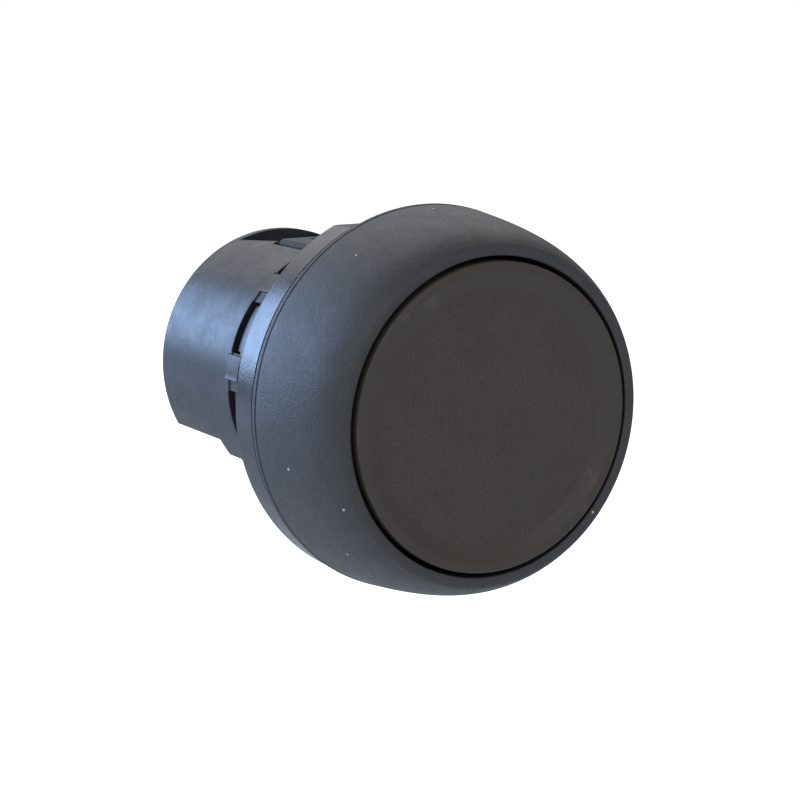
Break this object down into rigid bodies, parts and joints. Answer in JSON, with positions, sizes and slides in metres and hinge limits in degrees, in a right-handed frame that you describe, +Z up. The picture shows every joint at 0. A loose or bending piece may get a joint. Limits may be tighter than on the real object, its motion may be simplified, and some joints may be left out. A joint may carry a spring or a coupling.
{
  "type": "panel push button head",
  "caption": "Round flush push button head with a broad domed bezel, dished button, panel flange and a barrel with a flat under its rear end; the button springs back.",
  "frame": {"origin": "on the button's axis, in the plane where the gasket meets the front of the panel", "axes": "+Y along the axis towards the rear, the way the button is pressed; -Y is the front; +Z up; +X to the right seen from the front"},
  "size_m": [0.03, 0.0343, 0.03],
  "materials": {
    "bezel_plastic": "spark-eroded matt, fine even grain",
    "flange_plastic": "spark-eroded satin, coarser grain",
    "barrel_plastic": "smooth semi-gloss",
    "cap_plastic": "very fine matt",
    "seal_rubber": "matt moulded rubber",
    "inner_plastic": "dark grey acetal, satin",
    "bush_plastic": "waxy low-friction liner",
    "spring_steel": "drawn and plated"
  },
  "bodies": {
    "housing": {"bezel": "bezel_plastic", "bezel_seal": "seal_rubber", "front_body": "flange_plastic", "panel_gasket": "seal_rubber", "barrel": "barrel_plastic", "barrel_seal": "seal_rubber", "locating_key": "seal_rubber", "latch_ring": "barrel_plastic", "guide_sleeve": "inner_plastic", "front_bush": "bush_plastic", "rear_bush": "bush_plastic", "spring_washer": "spring_steel", "diaphragm": "seal_rubber", "diaphragm_clamp": "inner_plastic", "return_spring": "spring_steel"},
    "button": {"button_cap": "cap_plastic", "cap_carrier": "inner_plastic", "cap_seal": "seal_rubber", "diaphragm_hub": "inner_plastic", "spring_cup": "spring_steel", "plunger": "inner_plastic", "plunger_foot": "inner_plastic", "buffer_ring": "seal_rubber", "retaining_clip": "spring_steel"}
  },
  "joints": [
    {"name": "button_press", "type": "slide", "parent": "housing", "child": "button", "axis": [0, 1, 0], "range_m": [0, 0.005], "stiffness_N_per_m": 500, "springref_m": -0.006, "deforming": ["return_spring", "diaphragm"]}
  ]
}
